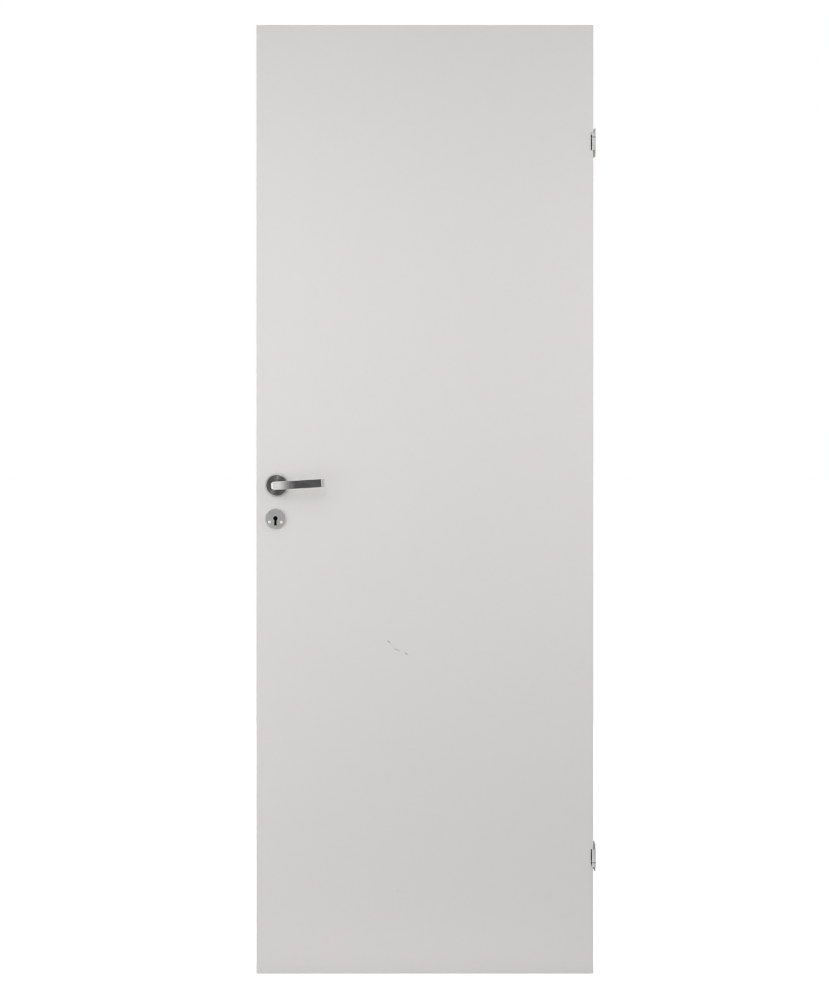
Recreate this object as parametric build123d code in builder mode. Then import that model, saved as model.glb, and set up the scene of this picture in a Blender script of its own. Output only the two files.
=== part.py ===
# Interior door: a white flush leaf on two compact barrel hinges, with a lever set and a key set.
# Frame: the origin is the middle of the lower hinge's frame face, +X points out of that face into the
# door post, +Y goes through the leaf from its front to its back, +Z is up. Millimetres.
import os
from math import cos, radians, sin

from build123d import *

os.makedirs("parts", exist_ok=True)

# ---------------------------------------------------------------- driving dimensions
leaf_w = 725.0          # leaf width
leaf_h = 2040.0         # leaf height
leaf_t = 40.0           # leaf thickness
skin_t = 3.0            # face board
edge_break = 0.5        # small chamfer round each face
hinge_stile_w = 34.0
lock_stile_w = 26.0
rail_h = 34.0
block_w, block_h = 85.0, 500.0

plate_t = 2.5           # hinge plates
plate_gap = 2.7         # joint between the leaf's edge and the frame plate
plate_w, plate_h = 28.0, 60.0
plate_corner = 2.0
barrel_r = 4.25
pin_r, pin_bore_r = 2.5, 2.55
stack_h = 37.6          # height of a hinge's notch and knuckle stack
notch_w, notch_d = 5.6, 10.0
screw_pitch = 40.0      # hinge plate screws
screw_hole_r, screw_sink_r = 2.25, 3.95
lower_hinge_up = 248.0  # hinge centres from the leaf's bottom and top
upper_hinge_down = 251.0

backset = 44.4          # spindle axis from the lock edge
spindle_up = 1050.0     # spindle axis above the leaf's bottom
key_down = 72.2         # key axis below the spindle axis
key_in = 41.5           # key axis from the lock edge
spindle_a = 8.0         # square spindle
spindle_half = 40.0

rose_r, rose_face_r, rose_t = 25.0, 22.2, 8.0
rose_fall = 0.5         # the rose's face falls this much from its middle to its rim
neck_r = 8.5            # lever neck
lever_end_r = 8.65      # round end of the lever, and its middle left of the spindle axis
lever_end_x = -3.2
lever_len = 105.1       # spindle axis to tip
lever_tip_half = 8.8
lever_rise = 3.5        # degrees that the lever tilts up
lever_out = 55.0        # front of the grip from the leaf's face
lever_t = 10.0
lever_clear = 5.0       # from the rose's face to the lever's arm
lever_bend_len = 58.0   # length of the bend along the grip
lever_inner_r = 21.0
lever_tip_r = 8.0
lever_edge_r = 0.5
bend_over = 1.0         # the bend's outer face starts this far outside the round end

esc_r, esc_face_r, esc_t = 23.0, 21.2, 6.0
esc_screw_x, esc_screw_down = 12.6, 7.2
key_bow_r, key_bow_up = 4.7, 1.2   # keyhole: its round bow, and the bow's middle above the key axis
key_shank = 15.3        # bow's middle to the foot of the keyhole
key_top_half, key_foot_half = 2.1, 2.8   # the keyhole's half width below the bow and at its foot
esc_head_r = 3.3

fore_w, fore_h, fore_t = 20.0, 170.0, 2.5
case_t, case_d, case_wall = 16.0, 66.0, 1.5
ward_t = 1.6
latch_len, latch_y, latch_z = 29.0, 12.0, 18.0
bolt_y, bolt_z = 10.0, 20.0

# ---------------------------------------------------------------- places that follow from them
leaf_hinge_x = -(plate_t + plate_gap)
leaf_lock_x = leaf_hinge_x - leaf_w
leaf_mid_x = (leaf_hinge_x + leaf_lock_x) / 2
leaf_bottom = -lower_hinge_up
leaf_top = leaf_bottom + leaf_h
leaf_mid_z = (leaf_bottom + leaf_top) / 2
upper_hinge_z = leaf_top - upper_hinge_down
half_t = leaf_t / 2
core_half = half_t - skin_t
pin_x, pin_y = -barrel_r, -half_t - 0.5
sx, sz = leaf_lock_x + backset, leaf_bottom + spindle_up
kx, kz = leaf_lock_x + key_in, sz - key_down
fore_z = sz - 30.0
case_low, case_high = kz - 32.0, sz + 32.0
set_screw_y = -half_t - rose_t - 9.0


def save(builder, name):
    builder.part.label = name
    export_step(builder.part, f"parts/{name}.step")


# ---------------------------------------------------------------- leaf: face boards
# Each face board has a round hole for the lever's spindle, a slot for the key and two screw holes; the front
# one is notched at the hinges.
with BuildPart() as front_skin:
    with BuildSketch(Plane.XZ.offset(core_half)):
        with Locations((leaf_mid_x, leaf_mid_z)):
            Rectangle(leaf_w, leaf_h)
        with Locations((leaf_hinge_x - notch_w / 2, 0), (leaf_hinge_x - notch_w / 2, upper_hinge_z)):
            Rectangle(notch_w, stack_h, mode=Mode.SUBTRACT)
        with Locations((sx, sz)):
            Circle(11, mode=Mode.SUBTRACT)
        with Locations((kx, kz - 5)):
            SlotOverall(26, 14, rotation=90, mode=Mode.SUBTRACT)
        with Locations((kx - esc_screw_x, kz - esc_screw_down), (kx + esc_screw_x, kz - esc_screw_down)):
            Circle(2.1, mode=Mode.SUBTRACT)
    extrude(amount=skin_t)
    chamfer(front_skin.edges().group_by(Axis.Y)[0].filter_by(lambda e: e.length > 100), edge_break)
save(front_skin, "front_skin")

with BuildPart() as back_skin:
    with BuildSketch(Plane.XZ.offset(-half_t)):
        with Locations((leaf_mid_x, leaf_mid_z)):
            Rectangle(leaf_w, leaf_h)
        with Locations((sx, sz)):
            Circle(11, mode=Mode.SUBTRACT)
        with Locations((kx, kz - 5)):
            SlotOverall(26, 14, rotation=90, mode=Mode.SUBTRACT)
        with Locations((kx - esc_screw_x, kz - esc_screw_down), (kx + esc_screw_x, kz - esc_screw_down)):
            Circle(2.1, mode=Mode.SUBTRACT)
    extrude(amount=skin_t)
    chamfer(back_skin.edges().group_by(Axis.Y)[-1].filter_by(lambda e: e.length > 100), edge_break)
save(back_skin, "back_skin")

# ---------------------------------------------------------------- leaf: timber frame between the boards
with BuildPart() as hinge_stile:
    with BuildSketch(Plane.XY.offset(leaf_bottom)):
        with Locations((leaf_hinge_x - hinge_stile_w / 2, 0)):
            Rectangle(hinge_stile_w, 2 * core_half)
    extrude(amount=leaf_h)
    for z in (0, upper_hinge_z):
        # recess for the leaf plate, notch for the knuckles, pilot holes for the screws
        with BuildSketch(Plane.YZ.offset(leaf_hinge_x)):
            with Locations((0, z)):
                RectangleRounded(plate_w, plate_h, plate_corner)
        extrude(amount=-plate_t, mode=Mode.SUBTRACT)
        with BuildSketch(Plane.YZ.offset(leaf_hinge_x)):
            with Locations((-core_half + (notch_d - skin_t) / 2, z)):
                Rectangle(notch_d - skin_t, stack_h)
        extrude(amount=-notch_w, mode=Mode.SUBTRACT)
        with BuildSketch(Plane.YZ.offset(leaf_hinge_x)):
            with Locations((0, z - screw_pitch / 2), (0, z + screw_pitch / 2)):
                Circle(2.05)
        extrude(amount=-28, mode=Mode.SUBTRACT)
save(hinge_stile, "hinge_stile")

with BuildPart() as lock_stile:
    with BuildSketch(Plane.XY.offset(leaf_bottom)):
        with Locations((leaf_lock_x + lock_stile_w / 2, 0)):
            Rectangle(lock_stile_w, 2 * core_half)
    extrude(amount=leaf_h)
    # recess for the forend, slot for the lock case, pilot holes for the forend's screws
    with BuildSketch(Plane.YZ.offset(leaf_lock_x)):
        with Locations((0, fore_z)):
            RectangleRounded(fore_w, fore_h, 3)
    extrude(amount=fore_t, mode=Mode.SUBTRACT)
    with BuildSketch(Plane.YZ.offset(leaf_lock_x)):
        with Locations((0, (case_low + case_high) / 2)):
            Rectangle(case_t + 1, case_high - case_low + 2)
    extrude(amount=lock_stile_w, mode=Mode.SUBTRACT)
    with BuildSketch(Plane.YZ.offset(leaf_lock_x)):
        with Locations((0, fore_z - fore_h / 2 + 8), (0, fore_z + fore_h / 2 - 8)):
            Circle(2.05)
    extrude(amount=25, mode=Mode.SUBTRACT)
save(lock_stile, "lock_stile")

for rail_name, rail_z in (("top_rail", leaf_top - rail_h), ("bottom_rail", leaf_bottom)):
    with BuildPart() as rail:
        with BuildSketch(Plane.XY.offset(rail_z)):
            with Locations(((leaf_lock_x + lock_stile_w + leaf_hinge_x - hinge_stile_w) / 2, 0)):
                Rectangle(leaf_w - lock_stile_w - hinge_stile_w, 2 * core_half)
        extrude(amount=rail_h)
    save(rail, rail_name)

block_x0 = leaf_lock_x + lock_stile_w
with BuildPart() as lock_block:
    with BuildSketch(Plane.XZ.offset(-core_half)):
        with Locations((block_x0 + block_w / 2, sz - 30)):
            Rectangle(block_w, block_h)
        with Locations((sx, sz)):
            Circle(11, mode=Mode.SUBTRACT)
        with Locations((kx, kz - 5)):
            SlotOverall(26, 14, rotation=90, mode=Mode.SUBTRACT)
    extrude(amount=2 * core_half)
    # pocket for the lock case
    with BuildSketch(Plane.YZ.offset(block_x0)):
        with Locations((0, (case_low + case_high) / 2)):
            Rectangle(case_t + 1, case_high - case_low + 2)
    extrude(amount=case_d + fore_t + 2 - lock_stile_w, mode=Mode.SUBTRACT)
    # pilot holes for the escutcheons' screws
    with BuildSketch(Plane.XZ.offset(-core_half)):
        with Locations((kx - esc_screw_x, kz - esc_screw_down), (kx + esc_screw_x, kz - esc_screw_down)):
            Circle(2.1)
    extrude(amount=2 * core_half, mode=Mode.SUBTRACT)
save(lock_block, "lock_block")

# ---------------------------------------------------------------- lock
with BuildPart() as lock_case:
    with BuildSketch(Plane.YZ.offset(leaf_lock_x + fore_t)):
        with Locations((0, (case_low + case_high) / 2)):
            Rectangle(case_t, case_high - case_low)
    extrude(amount=case_d)
    with BuildSketch(Plane.YZ.offset(leaf_lock_x + fore_t)):
        with Locations((0, (case_low + case_high) / 2)):
            Rectangle(case_t - 2 * case_wall, case_high - case_low - 2 * case_wall)
    extrude(amount=case_d - case_wall, mode=Mode.SUBTRACT)
    with BuildSketch(Plane.XZ.offset(-half_t)):
        with Locations((sx, sz)):
            Circle(9)
        with Locations((kx, kz - 5)):
            SlotOverall(26, 14, rotation=90)
    extrude(amount=leaf_t, mode=Mode.SUBTRACT)
    # a ward plate at mid thickness parts the key's way in from the front from the one from the back
    with BuildSketch(Plane.XZ.offset(-ward_t / 2)):
        with BuildLine():
            Polyline(
                (kx - 13, case_low + case_wall),
                (leaf_lock_x + fore_t + case_d - case_wall, case_low + case_wall),
                (leaf_lock_x + fore_t + case_d - case_wall, kz + 14),
                (kx - 13, kz + 14),
                close=True,
            )
        make_face()
    extrude(amount=ward_t)
save(lock_case, "lock_case")

with BuildPart() as forend:
    with BuildSketch(Plane.YZ.offset(leaf_lock_x)):
        with Locations((0, fore_z)):
            RectangleRounded(fore_w, fore_h, 3)
        with Locations((0, sz)):
            Rectangle(latch_y + 0.6, latch_z + 0.6, mode=Mode.SUBTRACT)
        with Locations((0, kz)):
            Rectangle(bolt_y + 0.6, bolt_z + 0.6, mode=Mode.SUBTRACT)
    extrude(amount=fore_t)
    with Locations(
        Plane(origin=(leaf_lock_x, 0, fore_z - fore_h / 2 + 8), x_dir=(0, 1, 0), z_dir=(-1, 0, 0)),
        Plane(origin=(leaf_lock_x, 0, fore_z + fore_h / 2 - 8), x_dir=(0, 1, 0), z_dir=(-1, 0, 0)),
    ):
        CounterSinkHole(screw_hole_r, screw_sink_r, depth=fore_t, counter_sink_angle=90)
save(forend, "forend")


# A countersunk wood screw: a flat head with a straight slot, lying in the countersink, and a plain shank.
def sunk_screw_profile(shank):
    return [(0, 0), (screw_sink_r - 0.05, 0), (2.0, -(screw_sink_r - 2.05)), (2.0, -shank), (0.6, -shank - 1.4), (0, -shank - 1.4)]


def sunk_screws(places, outward, shank):
    with BuildPart() as screws:
        for x, y, z in places:
            seat = Plane(origin=(x, y, z), x_dir=(0, 0, 1), z_dir=outward)
            with BuildSketch(Plane(origin=(x, y, z), x_dir=(0, 0, 1), z_dir=seat.y_dir * -1)) as half:
                with BuildLine():
                    Polyline(*sunk_screw_profile(shank), close=True)
                make_face()
            revolve(axis=Axis((x, y, z), outward))
            with BuildSketch(seat):
                Rectangle(6.4, 0.9, rotation=35)
            extrude(amount=-0.8, mode=Mode.SUBTRACT)
    return screws


save(
    sunk_screws(
        [(leaf_lock_x, 0, fore_z - fore_h / 2 + 8), (leaf_lock_x, 0, fore_z + fore_h / 2 - 8)], (-1, 0, 0), 20
    ),
    "forend_screws",
)

# Latch bolt: it stands drawn in, its round nose level with the forend.
with BuildPart() as latch_bolt:
    with BuildSketch(Plane.XY.offset(sz - latch_z / 2)):
        with Locations((leaf_lock_x + latch_len / 2, 0)):
            Rectangle(latch_len, latch_y)
    extrude(amount=latch_z)
    fillet(latch_bolt.edges().filter_by(Axis.Z).group_by(Axis.X)[0], 2.5)
    chamfer(latch_bolt.faces().sort_by(Axis.Z)[0].edges().group_by(Axis.X)[0], 0.4)
    chamfer(latch_bolt.faces().sort_by(Axis.Z)[-1].edges().group_by(Axis.X)[0], 0.4)
save(latch_bolt, "latch_bolt")

with BuildPart() as dead_bolt:
    with BuildSketch(Plane.XY.offset(kz - bolt_z / 2)):
        with Locations((leaf_lock_x + 14, 0)):
            Rectangle(28, bolt_y)
    extrude(amount=bolt_z)
    chamfer(dead_bolt.faces().sort_by(Axis.X)[0].edges(), 0.6)
save(dead_bolt, "dead_bolt")

# ---------------------------------------------------------------- lever set
with BuildPart() as spindle:
    with BuildSketch(Plane.XZ.offset(-spindle_half)):
        with Locations((sx, sz)):
            Rectangle(spindle_a, spindle_a, rotation=lever_rise)
    extrude(amount=2 * spindle_half)
save(spindle, "spindle")

with BuildPart() as front_rose:
    with BuildSketch(Plane.XY.offset(sz)):
        with BuildLine():
            Polyline(
                (sx + neck_r + 0.3, -half_t),
                (sx + rose_r, -half_t),
                (sx + rose_r, -half_t - rose_t + 2.5),
                (sx + rose_face_r, -half_t - rose_t + rose_fall),
                (sx + neck_r + 0.3, -half_t - rose_t),
                close=True,
            )
        make_face()
    revolve(axis=Axis((sx, 0, sz), (0, 1, 0)))
    fillet(front_rose.edges().filter_by(lambda e: e.center().Y < -half_t - 1 and e.length > 100), 0.5)
save(front_rose, "front_rose")

with BuildPart() as back_rose:
    add(front_rose.part)
    mirror(about=Plane.XZ, mode=Mode.REPLACE)
save(back_rose, "back_rose")

# The lever: its plan (a round neck that sweeps through a wide bend into a flat grip) is crossed with its
# front outline (a round end at the neck, a slight taper), both tilted by the lever's small rise.
grip_front = -half_t - lever_out
grip_back = grip_front + lever_t
arm_root = -half_t - rose_t - lever_clear
bend_out = arm_root - grip_front
# the bend is a tight arc at the root and a wide one into the grip, an eighth of a turn each
eighth = sin(radians(45))
bend_r1 = (eighth * bend_out - (1 - eighth) * lever_bend_len) / (2 * eighth - 1)
bend_r2 = (eighth * lever_bend_len - (1 - eighth) * bend_out) / (2 * eighth - 1)
along = (cos(radians(lever_rise)), 0, sin(radians(lever_rise)))
upward = (-sin(radians(lever_rise)), 0, cos(radians(lever_rise)))
plan_plane = Plane(origin=(sx, 0, sz), x_dir=along, z_dir=upward)
outline_plane = Plane(origin=(sx, 0, sz), x_dir=along, z_dir=(0, -1, 0))


def is_rim(e):
    """An edge of the arm's outline: not on the root, and not a smooth joint between two faces of the plan."""
    if e.center().Y > arm_root - 2:
        return False
    if abs((e % 0.5).dot(Vector(*upward))) < 0.999:
        return True
    return e.center().X - sx > lever_len - 2 and e.center().Y > grip_back - 0.1


with BuildPart() as front_lever:
    with BuildSketch(plan_plane.offset(-20)):
        with BuildLine():
            a1 = Line((neck_r, arm_root), (lever_end_x - lever_end_r - bend_over, arm_root))
            a2 = JernArc(a1 @ 1, (0, -1), bend_r1, 45)
            a9 = JernArc(a2 @ 1, a2 % 1, bend_r2, 45)
            a3 = Line(a9 @ 1, (lever_len - lever_tip_r, grip_front))
            a4 = JernArc(a3 @ 1, (1, 0), lever_tip_r, 90)
            a5 = Line(a4 @ 1, (lever_len, grip_back))
            a6 = Line(a5 @ 1, (neck_r + lever_inner_r, grip_back))
            a7 = JernArc(a6 @ 1, (-1, 0), lever_inner_r, -90)
            a8 = Line(a7 @ 1, (neck_r, arm_root))
        make_face()
    extrude(amount=40)
    with BuildSketch(outline_plane.offset(-arm_root)):
        with BuildLine():
            ThreePointArc((lever_end_x, lever_end_r), (lever_end_x - lever_end_r, 0), (lever_end_x, -lever_end_r))
            Polyline(
                (lever_end_x, -lever_end_r),
                (lever_len, -lever_tip_half),
                (lever_len, lever_tip_half),
                (lever_end_x, lever_end_r),
            )
        make_face()
    extrude(amount=60, mode=Mode.INTERSECT)
    fillet(front_lever.edges().filter_by(is_rim), lever_edge_r)
    with BuildSketch(Plane.XZ.offset(half_t + 0.5)):
        with Locations((sx, sz)):
            Circle(neck_r)
    extrude(amount=-arm_root - half_t + 0.5)
    with BuildSketch(Plane.XZ.offset(half_t + 0.5)):
        with Locations((sx, sz)):
            Rectangle(spindle_a + 0.1, spindle_a + 0.1, rotation=lever_rise)
    extrude(amount=spindle_half - half_t, mode=Mode.SUBTRACT)
    with BuildSketch(Plane.XY.offset(sz - 15)):
        with Locations((sx, set_screw_y)):
            Circle(2.55)
    extrude(amount=12, mode=Mode.SUBTRACT)
save(front_lever, "front_lever")

with BuildPart() as back_lever:
    add(front_lever.part)
    mirror(about=Plane.XZ, mode=Mode.REPLACE)
save(back_lever, "back_lever")

# Grub screws under the necks clamp the levers to the spindle.
with BuildPart() as lever_set_screws:
    for y in (set_screw_y, -set_screw_y):
        with BuildSketch(Plane.XY.offset(sz - 8.6)):
            with Locations((sx, y)):
                Circle(2.5)
                RegularPolygon(1.45, 6, mode=Mode.SUBTRACT)
        extrude(amount=2.2)
        with BuildSketch(Plane.XY.offset(sz - 6.4)):
            with Locations((sx, y)):
                Circle(2.5)
        extrude(amount=2.0)
save(lever_set_screws, "lever_set_screws")

# ---------------------------------------------------------------- key set
with BuildPart() as front_escutcheon:
    with BuildSketch(Plane.XY.offset(kz)):
        with BuildLine():
            Polyline(
                (kx, -half_t),
                (kx + esc_r, -half_t),
                (kx + esc_r, -half_t - esc_t + 2.5),
                (kx + esc_face_r, -half_t - esc_t),
                (kx, -half_t - esc_t),
                close=True,
            )
        make_face()
    revolve(axis=Axis((kx, 0, kz), (0, 1, 0)))
    fillet(front_escutcheon.edges().filter_by(lambda e: e.center().Y < -half_t - 1 and e.length > 100), 0.5)
    with BuildSketch(Plane.XZ.offset(half_t - 1)):
        with Locations((kx, kz + key_bow_up)):
            Circle(key_bow_r)
        with BuildLine():
            Polyline(
                (kx - key_top_half, kz + key_bow_up),
                (kx + key_top_half, kz + key_bow_up),
                (kx + key_foot_half, kz + key_bow_up - key_shank),
                (kx - key_foot_half, kz + key_bow_up - key_shank),
                close=True,
            )
        make_face()
    extrude(amount=esc_t + 2, mode=Mode.SUBTRACT)
    with BuildSketch(Plane.XZ.offset(half_t - 1)):
        with Locations((kx - esc_screw_x, kz - esc_screw_down), (kx + esc_screw_x, kz - esc_screw_down)):
            Circle(2.15)
    extrude(amount=esc_t + 2, mode=Mode.SUBTRACT)
save(front_escutcheon, "front_escutcheon")

with BuildPart() as back_escutcheon:
    add(front_escutcheon.part)
    mirror(about=Plane.XZ, mode=Mode.REPLACE)
save(back_escutcheon, "back_escutcheon")

# Raised round-head screws on the escutcheon's face.
with BuildPart() as front_escutcheon_screws:
    for x in (kx - esc_screw_x, kx + esc_screw_x):
        y0, z0 = -half_t - esc_t, kz - esc_screw_down
        with BuildSketch(Plane.XY.offset(z0)):
            with BuildLine():
                Line((x, y0 + 16), (x + 2.0, y0 + 16))
                Line((x + 2.0, y0 + 16), (x + 2.0, y0))
                Line((x + 2.0, y0), (x + esc_head_r, y0))
                ThreePointArc((x + esc_head_r, y0), (x + 0.64 * esc_head_r, y0 - 1.1), (x, y0 - 1.6))
                Line((x, y0 - 1.6), (x, y0 + 16))
            make_face()
        revolve(axis=Axis((x, 0, z0), (0, 1, 0)))
        with BuildSketch(Plane.XZ.offset(-y0 + 2)):
            with Locations((x, z0)):
                Rectangle(4.6, 0.8, rotation=20)
                Rectangle(0.8, 4.6, rotation=20)
        extrude(amount=-1.4, mode=Mode.SUBTRACT)
save(front_escutcheon_screws, "front_escutcheon_screws")

with BuildPart() as back_escutcheon_screws:
    add(front_escutcheon_screws.part)
    mirror(about=Plane.XZ, mode=Mode.REPLACE)
save(back_escutcheon_screws, "back_escutcheon_screws")

# ---------------------------------------------------------------- hinges
# Each hinge is a stack in the notch: a long and a short leaf knuckle outside, the frame knuckle and a washer
# inside. way is +1 where the capped end is up (upper hinge) and -1 where it is down (lower hinge).
cap_knuckle = (10.3, 18.7)
cap_cheek = (14.6, 18.7)
washer_span = (8.4, 10.2)
frame_knuckle = (-10.6, 8.3)
end_knuckle = (-18.7, -10.7)


def span(zc, way, lo, hi):
    a, b = zc + way * lo, zc + way * hi
    return min(a, b), abs(b - a)


for hinge_name, zc, way in (("lower_hinge", 0.0, -1), ("upper_hinge", upper_hinge_z, 1)):
    with BuildPart() as frame_plate:
        z0, h = span(zc, way, *frame_knuckle)
        with BuildSketch(Plane.YZ.offset(-plate_t)):
            with Locations((0, zc)):
                RectangleRounded(plate_w, plate_h, plate_corner)
            with Locations(((pin_y - plate_w / 2 + 4) / 2, z0 + h / 2)):
                Rectangle(-pin_y - plate_w / 2 + 4, h)
        extrude(amount=plate_t)
        with BuildSketch(Plane.XY.offset(z0)):
            with Locations((pin_x, pin_y)):
                Circle(barrel_r)
        extrude(amount=h)
        with BuildSketch(Plane.XY.offset(z0 - 1)):
            with Locations((pin_x, pin_y)):
                Circle(pin_bore_r)
        extrude(amount=h + 2, mode=Mode.SUBTRACT)
        with Locations(
            Plane(origin=(-plate_t, 0, zc - screw_pitch / 2), x_dir=(0, 1, 0), z_dir=(-1, 0, 0)),
            Plane(origin=(-plate_t, 0, zc + screw_pitch / 2), x_dir=(0, 1, 0), z_dir=(-1, 0, 0)),
        ):
            CounterSinkHole(screw_hole_r, screw_sink_r, depth=plate_t, counter_sink_angle=90)
    save(frame_plate, f"{hinge_name}_frame_plate")

    with BuildPart() as leaf_plate:
        with BuildSketch(Plane.YZ.offset(leaf_hinge_x - plate_t)):
            with Locations((0, zc)):
                RectangleRounded(plate_w, plate_h, plate_corner)
            for knuckle in (cap_knuckle, end_knuckle):
                z0, h = span(zc, way, *knuckle)
                with Locations(((pin_y - plate_w / 2 + 4) / 2, z0 + h / 2)):
                    Rectangle(-pin_y - plate_w / 2 + 4, h)
        extrude(amount=plate_t)
        for knuckle in (cap_knuckle, end_knuckle):
            z0, h = span(zc, way, *knuckle)
            with BuildSketch(Plane.XY.offset(z0)):
                with Locations((pin_x, pin_y)):
                    Circle(barrel_r)
            extrude(amount=h)
        # a cheek beside the cap knuckle closes the notch at its end
        z0, h = span(zc, way, *cap_cheek)
        cheek_x0, cheek_x1 = leaf_hinge_x - notch_w + 0.1, leaf_hinge_x - 1
        with BuildSketch(Plane.XY.offset(z0)):
            with Locations(((cheek_x0 + cheek_x1) / 2, -half_t + 3.5)):
                Rectangle(cheek_x1 - cheek_x0, 6)
        extrude(amount=h)
        with BuildSketch(Plane.XY.offset(zc - 30)):
            with Locations((pin_x, pin_y)):
                Circle(pin_bore_r)
        extrude(amount=60, mode=Mode.SUBTRACT)
        with Locations(
            Plane(origin=(leaf_hinge_x, 0, zc - screw_pitch / 2), x_dir=(0, 1, 0), z_dir=(1, 0, 0)),
            Plane(origin=(leaf_hinge_x, 0, zc + screw_pitch / 2), x_dir=(0, 1, 0), z_dir=(1, 0, 0)),
        ):
            CounterSinkHole(screw_hole_r, screw_sink_r, depth=plate_t, counter_sink_angle=90)
    save(leaf_plate, f"{hinge_name}_leaf_plate")

    with BuildPart() as pin:
        with BuildSketch(Plane.XY.offset(zc - stack_h / 2 + 0.1)):
            with Locations((pin_x, pin_y)):
                Circle(pin_r)
        extrude(amount=stack_h - 0.2)
        chamfer(pin.edges(), 0.5)
    save(pin, f"{hinge_name}_pin")

    with BuildPart() as washer:
        z0, h = span(zc, way, *washer_span)
        with BuildSketch(Plane.XY.offset(z0)):
            with Locations((pin_x, pin_y)):
                Circle(barrel_r)
                Circle(pin_bore_r, mode=Mode.SUBTRACT)
        extrude(amount=h)
    save(washer, f"{hinge_name}_washer")

    save(
        sunk_screws(
            [(leaf_hinge_x, 0, zc - screw_pitch / 2), (leaf_hinge_x, 0, zc + screw_pitch / 2)], (1, 0, 0), 24
        ),
        f"{hinge_name}_leaf_screws",
    )
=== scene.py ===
# A white flush interior door with a satin steel lever set: finishes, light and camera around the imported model.
# Metres, in the model's own frame: +X towards the door post, +Y through the leaf from front to back, +Z up.
import math

import bpy
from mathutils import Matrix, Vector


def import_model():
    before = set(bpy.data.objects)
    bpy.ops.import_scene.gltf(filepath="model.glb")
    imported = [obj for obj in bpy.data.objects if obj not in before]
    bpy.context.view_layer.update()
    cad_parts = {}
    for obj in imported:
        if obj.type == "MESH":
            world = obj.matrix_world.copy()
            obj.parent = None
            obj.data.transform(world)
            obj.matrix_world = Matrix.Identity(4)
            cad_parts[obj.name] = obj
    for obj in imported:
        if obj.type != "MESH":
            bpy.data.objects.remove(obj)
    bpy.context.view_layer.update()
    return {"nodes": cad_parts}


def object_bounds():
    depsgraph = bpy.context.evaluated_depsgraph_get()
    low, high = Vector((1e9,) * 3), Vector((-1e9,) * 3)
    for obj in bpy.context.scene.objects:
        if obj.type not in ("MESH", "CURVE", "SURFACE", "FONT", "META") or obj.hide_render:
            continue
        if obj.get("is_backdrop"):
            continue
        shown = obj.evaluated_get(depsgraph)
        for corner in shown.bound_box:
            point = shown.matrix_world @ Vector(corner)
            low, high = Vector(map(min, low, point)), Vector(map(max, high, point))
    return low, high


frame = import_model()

nodes = frame["nodes"]
scene = bpy.context.scene

# ---------------------------------------------------------------- places on the door
FACE_Y = -0.020                        # front face of the leaf
LEAF_X = (-0.7302, -0.0052)            # lock edge and hinge edge
LEAF_Z = (-0.248, 1.792)
SPINDLE = (-0.6858, 0.802)             # x, z
KEY = (-0.6887, 0.7298)
LEVER_RISE = math.radians(3.5)
HINGES_Z = (0.0, 1.541)


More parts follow.
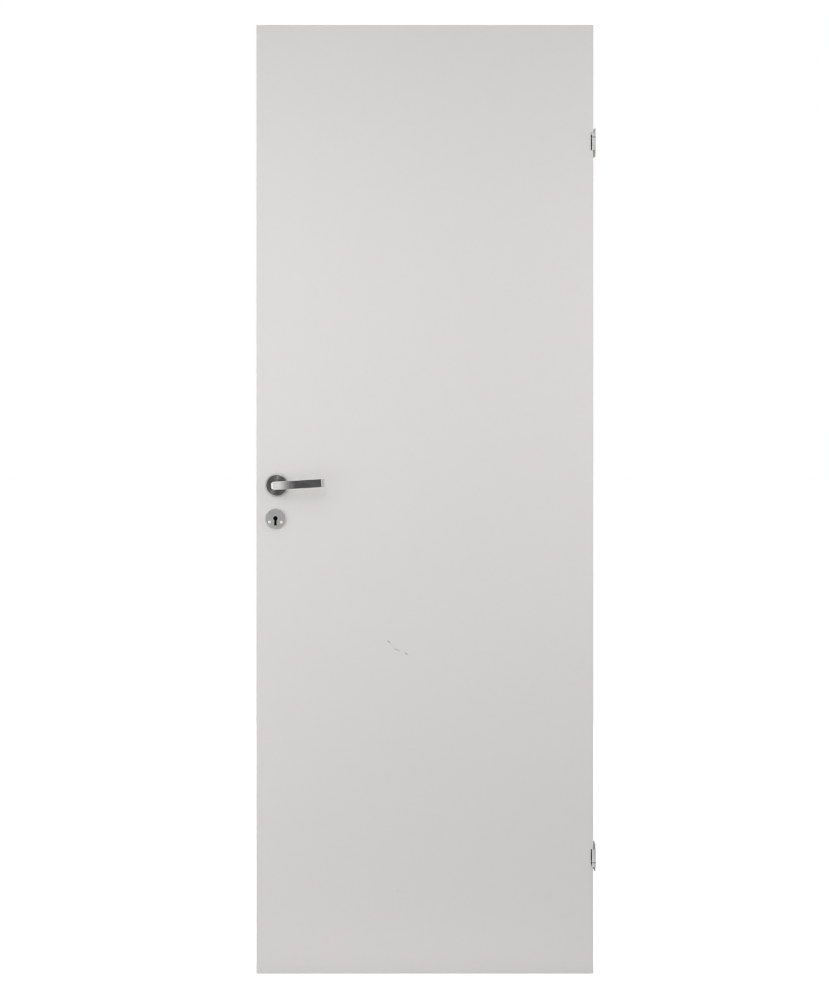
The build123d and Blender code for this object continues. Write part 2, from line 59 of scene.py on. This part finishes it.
# ---------------------------------------------------------------- a small hand for wiring nodes
class Net:
    def __init__(self, tree):
        self.tree = tree

    def node(self, kind, **settings):
        n = self.tree.nodes.new(kind)
        for key, value in settings.items():
            setattr(n, key, value)
        return n

    def put(self, socket, value):
        if isinstance(value, bpy.types.NodeSocket):
            self.tree.links.new(value, socket)
        else:
            socket.default_value = value

    def math(self, operation, a, b=0.0, c=0.0, clamp=False):
        n = self.node("ShaderNodeMath", operation=operation, use_clamp=clamp)
        for socket, value in zip(n.inputs, (a, b, c)):
            self.put(socket, value)
        return n.outputs[0]

    def vector(self, operation, a, b=(0.0, 0.0, 0.0)):
        n = self.node("ShaderNodeVectorMath", operation=operation)
        self.put(n.inputs[0], a)
        if operation == "SCALE":
            self.put(n.inputs["Scale"], b)
        elif operation not in ("LENGTH", "NORMALIZE", "ABSOLUTE"):
            self.put(n.inputs[1], b)
        return n.outputs["Value" if operation in ("LENGTH", "DOT_PRODUCT", "DISTANCE") else "Vector"]

    def split(self, vector):
        n = self.node("ShaderNodeSeparateXYZ")
        self.put(n.inputs[0], vector)
        return n.outputs

    def join(self, x, y, z):
        n = self.node("ShaderNodeCombineXYZ")
        for socket, value in zip(n.inputs, (x, y, z)):
            self.put(socket, value)
        return n.outputs[0]

    def coords(self, which="Object"):
        return self.node("ShaderNodeTexCoord").outputs[which]

    def noise(self, vector, scale, detail=2.0, roughness=0.5):
        n = self.node("ShaderNodeTexNoise")
        self.put(n.inputs["Vector"], vector)
        n.inputs["Scale"].default_value = scale
        n.inputs["Detail"].default_value = detail
        n.inputs["Roughness"].default_value = roughness
        return n.outputs["Fac"]

    def cells(self, vector, scale, feature="F1", output="Distance"):
        n = self.node("ShaderNodeTexVoronoi", feature=feature)
        self.put(n.inputs["Vector"], vector)
        n.inputs["Scale"].default_value = scale
        return n.outputs[output]

    def span(self, value, a, b, c=0.0, d=1.0, smooth=True):
        n = self.node("ShaderNodeMapRange", interpolation_type="SMOOTHSTEP" if smooth else "LINEAR", clamp=True)
        for socket, x in zip(n.inputs, (value, a, b, c, d)):
            self.put(socket, x)
        return n.outputs[0]

    def mix(self, fac, a, b, blend="MIX"):
        n = self.node("ShaderNodeMix", data_type="RGBA", blend_type=blend)
        self.put(n.inputs[0], fac)
        for socket, value in zip((n.inputs[6], n.inputs[7]), (a, b)):
            self.put(socket, value if isinstance(value, bpy.types.NodeSocket) else (*value, 1.0))
        return n.outputs[2]

    def bump(self, height, distance, strength=1.0, normal=None):
        n = self.node("ShaderNodeBump")
        n.inputs["Strength"].default_value = strength
        n.inputs["Distance"].default_value = distance
        self.put(n.inputs["Height"], height)
        if normal is not None:
            self.put(n.inputs["Normal"], normal)
        return n.outputs[0]

    def most(self, values):
        total = values[0]
        for v in values[1:]:
            total = self.math("MAXIMUM", total, v)
        return total

    def inside(self, xyz, low, high, soft=0.00002):
        """1 inside a box in the model's frame, 0 outside; None leaves a side open."""
        parts = []
        for value, a, b in zip(xyz, low, high):
            if a is not None:
                parts.append(self.span(value, a - soft, a + soft))
            if b is not None:
                parts.append(self.span(value, b - soft, b + soft, 1.0, 0.0))
        total = parts[0]
        for v in parts[1:]:
            total = self.math("MULTIPLY", total, v)
        return total


def material(name):
    m = bpy.data.materials.new(name)
    m.use_nodes = True
    m.node_tree.nodes.clear()
    net = Net(m.node_tree)
    out = net.node("ShaderNodeOutputMaterial")
    bsdf = net.node("ShaderNodeBsdfPrincipled")
    m.node_tree.links.new(bsdf.outputs[0], out.inputs[0])
    return m, net, bsdf.inputs


# ---------------------------------------------------------------- paint
# Marks on the front face, as x0, z0, x1, z1, half width, depth of tone.
MARKS = [
    (-0.4473, 0.4672, -0.4440, 0.4636, 0.00085, 1.00),
    (-0.4434, 0.4632, -0.4395, 0.4598, 0.00055, 0.34),
    (-0.4395, 0.4598, -0.4342, 0.4548, 0.00055, 0.14),
    (-0.4322, 0.4494, -0.4283, 0.4490, 0.00080, 0.95),
    (-0.4283, 0.4490, -0.4262, 0.4470, 0.00055, 0.50),
    (-0.4262, 0.4470, -0.4218, 0.4466, 0.00080, 0.55),
    (-0.4103, 0.4411, -0.4048, 0.4374, 0.00078, 0.92),
    (-0.4266, -0.0686, -0.4263, -0.0708, 0.00055, 0.40),
]


def fibreboard_colour(net, p):
    """Raw brown fibreboard, where the paint ends inside a cut."""
    fibres = net.noise(net.vector("MULTIPLY", p, (1.0, 1.0, 0.35)), 1400, 3, 0.6)
    return net.mix(net.span(fibres, 0.3, 0.75), (0.075, 0.045, 0.025), (0.20, 0.135, 0.085))


def paint(name, grain_axis=None, marks=False, cuts=()):
    m, net, put = material(name)
    p = net.coords()
    x, y, z = net.split(p)
    drift = net.noise(p, 1.7, 2, 0.5)
    mottle = net.noise(p, 55, 3, 0.55)
    speck = net.noise(p, 700, 2, 0.5)
    tone = net.math("ADD", net.math("MULTIPLY", drift, 0.5), net.math("MULTIPLY", mottle, 0.5))
    colour = net.mix(net.span(tone, 0.3, 0.7), (0.828, 0.807, 0.794), (0.844, 0.824, 0.812))
    colour = net.mix(net.span(speck, 0.35, 0.70), colour, (0.852, 0.832, 0.819))
    rough = net.math("ADD", net.span(mottle, 0.25, 0.75, 0.40, 0.47), net.span(speck, 0.3, 0.7, -0.02, 0.03))
    # sprayed paint: a fine peel over a longer, flatter wave
    peel = net.noise(p, 420, 2, 0.45)
    wave = net.noise(p, 42, 1, 0.4)
    normal = net.bump(wave, 0.00006)
    normal = net.bump(peel, 0.000012, normal=normal)
    if grain_axis is not None:
        # the edge timber's grain shows faintly through the paint
        stretch = [1.0, 1.0, 1.0]
        stretch[grain_axis] = 0.02
        lines = net.noise(net.vector("MULTIPLY", p, tuple(stretch)), 520, 3, 0.6)
        normal = net.bump(lines, 0.00003, normal=normal)
        colour = net.mix(net.span(lines, 0.35, 0.8, 0.0, 0.10), colour, (0.74, 0.725, 0.70))
    if marks:
        flat = net.join(x, 0.0, z)
        wobble = net.vector("SCALE", net.vector("SUBTRACT", net.node_colour(flat, 900), (0.5, 0.5, 0.5)), 0.0007)
        flat = net.vector("ADD", flat, net.vector("MULTIPLY", wobble, (1.0, 0.0, 1.0)))
        tones = []
        for x0, z0, x1, z1, half, depth in MARKS:
            run = (x1 - x0, 0.0, z1 - z0)
            square = run[0] ** 2 + run[2] ** 2
            start = net.vector("SUBTRACT", flat, (x0, 0.0, z0))
            along = net.math("MULTIPLY", net.vector("DOT_PRODUCT", start, run), 1.0 / square, clamp=True)
            nearest = net.vector("SCALE", run, along)
            gap = net.vector("DISTANCE", start, nearest)
            tones.append(net.span(gap, half * 0.55, half * 1.25, depth, 0.0))
        tone = net.math("MULTIPLY", net.most(tones), net.span(y, FACE_Y + 0.0001, FACE_Y + 0.0002, 1.0, 0.0))
        rag = net.noise(flat, 2600, 2, 0.6)
        tone = net.math("MULTIPLY", tone, net.span(rag, 0.25, 0.6, 0.55, 1.0))
        colour = net.mix(tone, colour, (0.14, 0.135, 0.13))
        rough = net.math("ADD", rough, net.math("MULTIPLY", tone, 0.25))
        normal = net.bump(net.math("SUBTRACT", 1.0, tone), 0.00012, normal=normal)
    if cuts:
        raw = net.most([net.math("MULTIPLY", net.inside((x, y, z), low, high), bare) for low, high, bare in cuts])
        colour = net.mix(raw, colour, fibreboard_colour(net, p))
        rough = net.math("ADD", rough, net.math("MULTIPLY", raw, 0.4))
    net.put(put["Base Color"], colour)
    net.put(put["Roughness"], rough)
    net.put(put["Normal"], normal)
    put["IOR"].default_value = 1.48
    return m


def node_colour(self, vector, scale):
    n = self.node("ShaderNodeTexNoise")
    self.put(n.inputs["Vector"], vector)
    n.inputs["Scale"].default_value = scale
    n.inputs["Detail"].default_value = 1.0
    return n.outputs["Color"]


Net.node_colour = node_colour

# Boxes where the board is bare, as low corner, high corner and how bare; the hinge notches have caught a mist of
# paint, and a painted step in each stands level with the bearing ring.
hinge_cuts = []
for zc, steps in zip(HINGES_Z, (((-0.0189, -0.0104), (-0.0082, 0.0189)), ((-0.0189, 0.0082), (0.0104, 0.0189)))):
    for low, high in steps:
        hinge_cuts.append(((-0.01085, None, zc + low), (-0.0050, -0.0099, zc + high), 0.76))
plate_cuts = [((-0.0078, -0.01405, zc - 0.03005), (-0.00525, 0.01405, zc + 0.03005), 1.0) for zc in HINGES_Z]
lock_cuts = [((-0.72995, -0.0105, 0.6865), (-0.7000, 0.0105, 0.8575), 1.0)]

key_cuts = [((KEY[0] - 0.0073, None, KEY[1] - 0.0183), (KEY[0] + 0.0073, None, KEY[1] + 0.0083), 1.0)]

face_paint = paint("satin_white_face", marks=True, cuts=hinge_cuts + key_cuts)
stile_paint = paint("satin_white_stile", grain_axis=2, cuts=hinge_cuts + plate_cuts + lock_cuts)
rail_paint = paint("satin_white_rail", grain_axis=0)


def raw_timber():
    m, net, put = material("raw_softwood")
    p = net.coords()
    rings = net.noise(net.vector("MULTIPLY", p, (1.0, 1.0, 0.03)), 160, 3, 0.55)
    fibre = net.noise(net.vector("MULTIPLY", p, (1.0, 1.0, 0.02)), 2200, 2, 0.6)
    colour = net.mix(net.span(rings, 0.38, 0.66), (0.56, 0.37, 0.20), (0.70, 0.53, 0.34))
    colour = net.mix(net.span(fibre, 0.3, 0.8, 0.0, 0.35), colour, (0.40, 0.25, 0.13))
    net.put(put["Base Color"], colour)
    net.put(put["Roughness"], net.span(rings, 0.3, 0.7, 0.62, 0.75))
    net.put(put["Normal"], net.bump(fibre, 0.00004))
    return m


# ---------------------------------------------------------------- metals
def lever_steel():
    """Satin steel, brushed along the lever."""
    m, net, put = material("satin_steel_lever")
    p = net.vector("SUBTRACT", net.coords(), (SPINDLE[0], 0.0, SPINDLE[1]))
    x, y, z = net.split(p)
    c, s = math.cos(LEVER_RISE), math.sin(LEVER_RISE)
    along = net.math("ADD", net.math("MULTIPLY", x, c), net.math("MULTIPLY", z, s))
    across = net.math("SUBTRACT", net.math("MULTIPLY", z, c), net.math("MULTIPLY", x, s))
    nx, ny, nz = net.split(net.coords("Normal"))
    flank = net.span(net.math("ABSOLUTE", nz), 0.7, 0.9)
    side = net.math("ADD", net.math("MULTIPLY", across, net.math("SUBTRACT", 1.0, flank)), net.math("MULTIPLY", y, flank))
    lane = net.join(net.math("MULTIPLY", along, 0.012), net.math("MULTIPLY", net.math("SUBTRACT", y, side), 0.012), side)
    hair = net.noise(lane, 4200, 2, 0.6)
    streak = net.noise(lane, 620, 3, 0.6)
    cloud = net.noise(p, 45, 2, 0.5)
    colour = net.mix(net.span(streak, 0.3, 0.7), (0.745, 0.737, 0.723), (0.795, 0.787, 0.773))
    rough = net.math("ADD", net.span(streak, 0.3, 0.7, 0.215, 0.255), net.span(cloud, 0.3, 0.7, -0.015, 0.02))
    net.put(put["Base Color"], colour)
    net.put(put["Roughness"], rough)
    net.put(put["Normal"], net.bump(hair, 0.0000025))
    put["Metallic"].default_value = 1.0
    put["Anisotropic"].default_value = 0.35
    tangent = net.node("ShaderNodeTangent", direction_type="RADIAL", axis="X")
    net.put(put["Tangent"], tangent.outputs[0])
    return m


def turned_steel(name, centre, dark, light, low, high, anisotropic, rim_highlight, bore=None):
    """Satin steel, brushed in circles about an axis along Y. The rim tuple gives the radius of the face and a lighter
    colour for the bevel outside it, a painted highlight; bore is a box about the centre whose walls are painted near
    black, a painted shade for the dark inside of the keyhole."""
    m, net, put = material(name)
    p = net.vector("SUBTRACT", net.coords(), (centre[0], 0.0, centre[1]))
    x, y, z = net.split(p)
    radius = net.vector("LENGTH", net.join(x, 0.0, z))
    angle = net.math("ARCTAN2", z, x)
    lane = net.join(radius, net.math("MULTIPLY", angle, 0.0006), net.math("MULTIPLY", y, 1.0))
    ring = net.noise(lane, 3600, 2, 0.6)
    band = net.noise(lane, 700, 3, 0.6)
    cloud = net.noise(p, 60, 2, 0.5)
    colour = net.mix(net.span(band, 0.3, 0.7), dark, light)
    # painted highlight: the bevel outside the face's radius gets a lighter colour than the face of the same steel
    colour = net.mix(net.span(radius, rim_highlight[0] - 0.0001, rim_highlight[0] + 0.0001), colour, net.mix(cloud, rim_highlight[1], rim_highlight[2]))
    if bore is not None:
        (x0, z0), (x1, z1), depth = bore
        # painted shade: the walls of the bore are coloured near black so the keyhole's inside reads dark
        bore_shade = net.inside((x, net.math("ABSOLUTE", y), z), (x0, None, z0), (x1, depth, z1))
        colour = net.mix(bore_shade, colour, net.mix(cloud, (0.02, 0.019, 0.017), (0.05, 0.047, 0.042)))
    net.put(put["Base Color"], colour)
    net.put(put["Roughness"], net.math("ADD", net.span(band, 0.3, 0.7, low, high), net.span(cloud, 0.3, 0.7, -0.015, 0.015)))
    net.put(put["Normal"], net.bump(ring, 0.000002))
    put["Metallic"].default_value = 1.0
    put["Anisotropic"].default_value = anisotropic
    put["Anisotropic Rotation"].default_value = 0.25
    tangent = net.node("ShaderNodeTangent", direction_type="RADIAL", axis="Y")
    net.put(put["Tangent"], tangent.outputs[0])
    return m


def plate_steel():
    """The forend: a flat strip brushed along its length."""
    m, net, put = material("satin_steel_strip")
    p = net.coords()
    lane = net.vector("MULTIPLY", p, (1.0, 1.0, 0.012))
    hair = net.noise(lane, 4000, 2, 0.6)
    streak = net.noise(lane, 650, 3, 0.6)
    net.put(put["Base Color"], net.mix(net.span(streak, 0.3, 0.7), (0.52, 0.515, 0.505), (0.62, 0.615, 0.605)))
    net.put(put["Roughness"], net.span(streak, 0.3, 0.7, 0.27, 0.36))
    net.put(put["Normal"], net.bump(hair, 0.000003))
    put["Metallic"].default_value = 1.0
    put["Anisotropic"].default_value = 0.4
    tangent = net.node("ShaderNodeTangent", direction_type="RADIAL", axis="Z")
    net.put(put["Tangent"], tangent.outputs[0])
    return m


def zinc_steel():
    """Bright zinc plating: a soft grey with a fine crystal mottling."""
    m, net, put = material("zinc_plate")
    p = net.coords()
    grain = net.cells(p, 900, output="Color")
    shade = net.noise(p, 140, 3, 0.6)
    fine = net.noise(p, 1900, 2, 0.6)
    colour = net.mix(net.span(shade, 0.3, 0.7), (0.56, 0.565, 0.57), (0.68, 0.685, 0.68))
    colour = net.mix(0.06, colour, grain)
    net.put(put["Base Color"], colour)
    net.put(put["Roughness"], net.math("ADD", net.span(shade, 0.3, 0.7, 0.28, 0.40), net.span(fine, 0.3, 0.7, -0.03, 0.03)))
    net.put(put["Normal"], net.bump(fine, 0.000004))
    put["Metallic"].default_value = 1.0
    return m


def hinge_steel():
    """Pale lacquered zinc on the hinge plates and knuckles."""
    m, net, put = material("pale_zinc")
    p = net.coords()
    shade = net.noise(p, 160, 3, 0.6)
    fine = net.noise(p, 1900, 2, 0.6)
    colour = net.mix(net.span(shade, 0.3, 0.7), (0.74, 0.735, 0.725), (0.83, 0.825, 0.815))
    net.put(put["Base Color"], net.mix(net.span(fine, 0.55, 0.8, 0.0, 0.25), colour, (0.66, 0.655, 0.645)))
    net.put(put["Roughness"], net.math("ADD", net.span(shade, 0.3, 0.7, 0.42, 0.52), net.span(fine, 0.3, 0.7, -0.03, 0.03)))
    net.put(put["Normal"], net.bump(fine, 0.000004))
    put["Metallic"].default_value = 0.35
    return m


def bolt_steel():
    """Ground steel with short wear lines along X, the way the bolts slide."""
    m, net, put = material("ground_steel")
    p = net.coords()
    lane = net.vector("MULTIPLY", p, (0.03, 1.0, 1.0))
    lines = net.noise(lane, 2600, 3, 0.6)
    shade = net.noise(p, 90, 3, 0.55)
    net.put(put["Base Color"], net.mix(net.span(shade, 0.3, 0.7), (0.54, 0.53, 0.52), (0.66, 0.655, 0.65)))
    net.put(put["Roughness"], net.span(lines, 0.3, 0.7, 0.22, 0.34))
    net.put(put["Normal"], net.bump(lines, 0.000004))
    put["Metallic"].default_value = 1.0
    return m


def painted_sheen_heads():
    """Screw heads coloured near white and barely metallic: a painted sheen in place of polished steel's reflections."""
    m, net, put = material("white_heads_painted_sheen")
    p = net.coords()
    shade = net.noise(p, 300, 3, 0.6)
    fine = net.noise(p, 2600, 2, 0.6)
    net.put(put["Base Color"], net.mix(net.span(shade, 0.3, 0.7), (0.95, 0.95, 0.945), (0.98, 0.98, 0.975)))
    net.put(put["Roughness"], net.span(fine, 0.3, 0.7, 0.42, 0.52))
    net.put(put["Normal"], net.bump(fine, 0.000003))
    put["Metallic"].default_value = 0.05
    return m


def dark_steel():
    """Blackened steel on the grub screws; the lock case is coloured as dark as well, a painted shade for the inside
    seen through the keyhole.
    """
    m, net, put = material("blackened_steel_and_keyhole_shade")
    p = net.coords()
    shade = net.noise(p, 700, 3, 0.6)
    net.put(put["Base Color"], net.mix(net.span(shade, 0.3, 0.7), (0.035, 0.035, 0.037), (0.075, 0.073, 0.07)))
    net.put(put["Roughness"], net.span(shade, 0.3, 0.7, 0.35, 0.5))
    net.put(put["Normal"], net.bump(shade, 0.00001))
    put["Metallic"].default_value = 0.8
    return m


def ring_plastic():
    """Grey plastic bearing rings."""
    m, net, put = material("bearing_plastic")
    p = net.coords()
    shade = net.noise(p, 500, 3, 0.6)
    net.put(put["Base Color"], net.mix(net.span(shade, 0.3, 0.7), (0.28, 0.28, 0.27), (0.35, 0.35, 0.335)))
    net.put(put["Roughness"], net.span(shade, 0.3, 0.7, 0.45, 0.6))
    net.put(put["Normal"], net.bump(shade, 0.00001))
    return m


# painted reflection: the rose's turned face is coloured far darker than the same steel on the lever and escutcheon, for
# the dark room it faces; its bevel is coloured lighter, a painted highlight
rose_steel = turned_steel(
    "turned_steel_rose", SPINDLE, (0.43, 0.425, 0.417), (0.48, 0.475, 0.467), 0.29, 0.33, 0.97,
    rim_highlight=(0.0222, (0.66, 0.653, 0.64), (0.71, 0.703, 0.69)),
)
# painted highlight: the escutcheon's bevel is coloured a little lighter than its face
key_steel = turned_steel(
    "satin_steel_escutcheon", KEY, (0.81, 0.805, 0.798), (0.89, 0.885, 0.878), 0.60, 0.68, 0.3,
    rim_highlight=(0.0212, (0.86, 0.855, 0.848), (0.92, 0.915, 0.908)), bore=((-0.0053, -0.0150), (0.0053, 0.0065), 0.0257),
)
zinc, bolts, heads, black = zinc_steel(), bolt_steel(), painted_sheen_heads(), dark_steel()
lever_finish, strip = lever_steel(), plate_steel()

finish = {
    "front_skin": face_paint, "back_skin": face_paint,
    "hinge_stile": stile_paint, "lock_stile": stile_paint, "top_rail": rail_paint, "bottom_rail": rail_paint,
    # the lock case's blackened colour is painted shade behind the keyhole
    "lock_block": raw_timber(), "lock_case": black, "forend": strip, "forend_screws": zinc,
    "latch_bolt": bolts, "dead_bolt": bolts, "spindle": zinc,
    "front_rose": rose_steel, "back_rose": rose_steel, "front_lever": lever_finish, "back_lever": lever_finish,
    "lever_set_screws": black,
    "front_escutcheon": key_steel, "back_escutcheon": key_steel,
    "front_escutcheon_screws": heads, "back_escutcheon_screws": heads,
}
rings, pale = ring_plastic(), hinge_steel()
for hinge in ("lower_hinge", "upper_hinge"):
    finish[f"{hinge}_frame_plate"] = pale
    finish[f"{hinge}_leaf_plate"] = pale
    finish[f"{hinge}_pin"] = bolts
    finish[f"{hinge}_washer"] = rings
    finish[f"{hinge}_leaf_screws"] = zinc

for name, m in finish.items():
    mesh = nodes[name].data
    if len(mesh.materials):
        mesh.materials[0] = m
    else:
        mesh.materials.append(m)


# ---------------------------------------------------------------- floor
def floor():
    half, z = 40.0, LEAF_Z[0] - 0.0006
    mesh = bpy.data.meshes.new("studio_floor")
    mesh.from_pydata([(-half, -half, z), (half, -half, z), (half, half, z), (-half, half, z)], [], [(0, 1, 2, 3)])
    obj = bpy.data.objects.new("studio_floor", mesh)
    scene.collection.objects.link(obj)
    m, net, put = material("pale_floor")
    p = net.coords()
    shade = net.noise(p, 3.0, 3, 0.5)
    seen = net.node("ShaderNodeLightPath").outputs["Is Camera Ray"]
    pale = net.mix(net.span(shade, 0.3, 0.7), (0.965, 0.965, 0.962), (0.985, 0.985, 0.982))
    net.put(put["Base Color"], net.mix(seen, (0.50, 0.50, 0.495), pale))
    net.put(put["Roughness"], net.span(shade, 0.3, 0.7, 0.80, 0.90))
    put["Specular IOR Level"].default_value = 0.1
    # the picture shows it burnt out to white
    put["Emission Color"].default_value = (1.0, 1.0, 1.0, 1.0)
    net.put(put["Emission Strength"], net.math("MULTIPLY", seen, 0.26))
    mesh.materials.append(m)
    obj.visible_glossy = False
    obj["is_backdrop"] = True


floor()


# ---------------------------------------------------------------- light
def card(net, direction, azimuth, polar, radius, soft):
    """1 towards a soft round card in the room: azimuth from +X to +Z seen from the front, polar from straight out."""
    a, p = math.radians(azimuth), math.radians(polar)
    aim = (math.sin(p) * math.cos(a), -math.cos(p), math.sin(p) * math.sin(a))
    return net.span(
        net.vector("DOT_PRODUCT", direction, aim), math.cos(math.radians(radius + soft)), math.cos(math.radians(radius))
    )


def world():
    w = bpy.data.worlds.new("studio")
    scene.world = w
    w.use_nodes = True
    w.node_tree.nodes.clear()
    net = Net(w.node_tree)
    direction = net.vector("NORMALIZE", net.coords("Generated"))
    x, y, z = net.split(direction)
    # soft white all round, brighter on the left and overhead, with a dark gap straight out from each face
    level = net.span(x, -0.75, 0.75, 0.86, 0.60)
    level = net.math("MAXIMUM", level, net.span(z, 0.45, 0.85, 0.0, 1.15))
    out = net.math("ABSOLUTE", y)
    gap = net.span(out, math.cos(math.radians(66)), math.cos(math.radians(10)), smooth=False)
    level = net.math("ADD", net.math("MULTIPLY", level, net.math("SUBTRACT", 1.0, gap)), net.math("MULTIPLY", gap, 0.06))
    level = net.math("ADD", level, net.math("MULTIPLY", card(net, direction, 93, 27, 4, 2), 4.6))
    level = net.math("ADD", level, net.math("MULTIPLY", card(net, direction, 230, 27, 4, 2), 3.0))
    level = net.math("ADD", level, net.math("MULTIPLY", card(net, direction, 0, 25, 8, 5), 0.75))
    level = net.math("ADD", level, net.math("MULTIPLY", card(net, direction, 0, 44, 11, 8), 0.26))
    level = net.math("ADD", level, net.math("MULTIPLY", card(net, direction, 180, 127, 8, 6), 0.95))
    seen = net.node("ShaderNodeLightPath").outputs["Is Camera Ray"]
    strength = net.math("ADD", net.math("MULTIPLY", level, net.math("SUBTRACT", 1.0, seen)), seen)
    background = net.node("ShaderNodeBackground")
    background.inputs["Color"].default_value = (1.0, 1.0, 1.0, 1.0)
    net.put(background.inputs["Strength"], strength)
    end = net.node("ShaderNodeOutputWorld")
    w.node_tree.links.new(background.outputs[0], end.inputs[0])


def panel(name, place, target, size, power):
    data = bpy.data.lights.new(name, "AREA")
    data.shape = "RECTANGLE"
    data.size, data.size_y = size
    data.energy = power
    obj = bpy.data.objects.new(name, data)
    scene.collection.objects.link(obj)
    obj.location = place
    aim = [t - p for t, p in zip(target, place)]
    flat = math.hypot(aim[0], aim[1])
    # an area light shines along its own -Z
    obj.rotation_euler = (math.atan2(flat, -aim[2]), 0.0, math.atan2(aim[1], aim[0]) - math.pi / 2)
    obj.visible_camera = False
    obj.visible_glossy = False
    return obj


world()
for side, way in (("front", 1.0), ("back", -1.0)):
    panel(f"{side}_left", (-1.75, -1.05 * way, 0.42), (-0.60, 0.0, 0.60), (0.6, 1.0), 3.74)
    panel(f"{side}_high", (-0.90, -1.00 * way, 1.36), (-0.50, 0.0, 1.00), (0.8, 0.7), 2.25)
    panel(f"{side}_right", (0.85, -0.55 * way, 1.17), (-0.15, 0.0, 1.10), (0.6, 1.0), 3.13)
    panel(f"{side}_fill", (-0.40, -3.20 * way, 0.95), (-0.40, 0.0, 0.80), (3.0, 3.0), 12.5)
    panel(f"{side}_low", (-0.36, -0.15 * way, -0.236), (-0.36, 0.0, -0.19), (0.74, 0.04), 0.044)

# ---------------------------------------------------------------- camera
PX_PER_M = 948.4 / 2.040              # on the leaf's face, in an image of 829 by 1000
DISTANCE = 3.9
AXIS_PX = (424.90, 430.0)              # where the camera's axis meets the image
camera_data = bpy.data.cameras.new("camera")
camera = bpy.data.objects.new("camera", camera_data)
scene.collection.objects.link(camera)
camera_data.sensor_width = 36.0
camera_data.lens = PX_PER_M * DISTANCE / 1000.0 * 36.0
camera_data.shift_x = (414.5 - AXIS_PX[0]) / 1000.0
camera_data.shift_y = (AXIS_PX[1] - 500.0) / 1000.0
camera_data.clip_end = 200.0
camera.location = (
    (LEAF_X[0] + LEAF_X[1]) / 2 + (AXIS_PX[0] - 424.90) / PX_PER_M,
    FACE_Y - DISTANCE,
    LEAF_Z[1] - (AXIS_PX[1] - 24.9) / PX_PER_M,
)
camera.rotation_euler = (math.radians(90.0), 0.0, 0.0)
scene.camera = camera

scene.view_settings.view_transform = "Standard"
scene.view_settings.look = "None"
scene.view_settings.exposure = 0.0
scene.view_settings.gamma = 1.0
scene.cycles.filter_width = 1.1       # edges as crisp as in the photo

# ---------------------------------------------------------------- size
low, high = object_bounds()
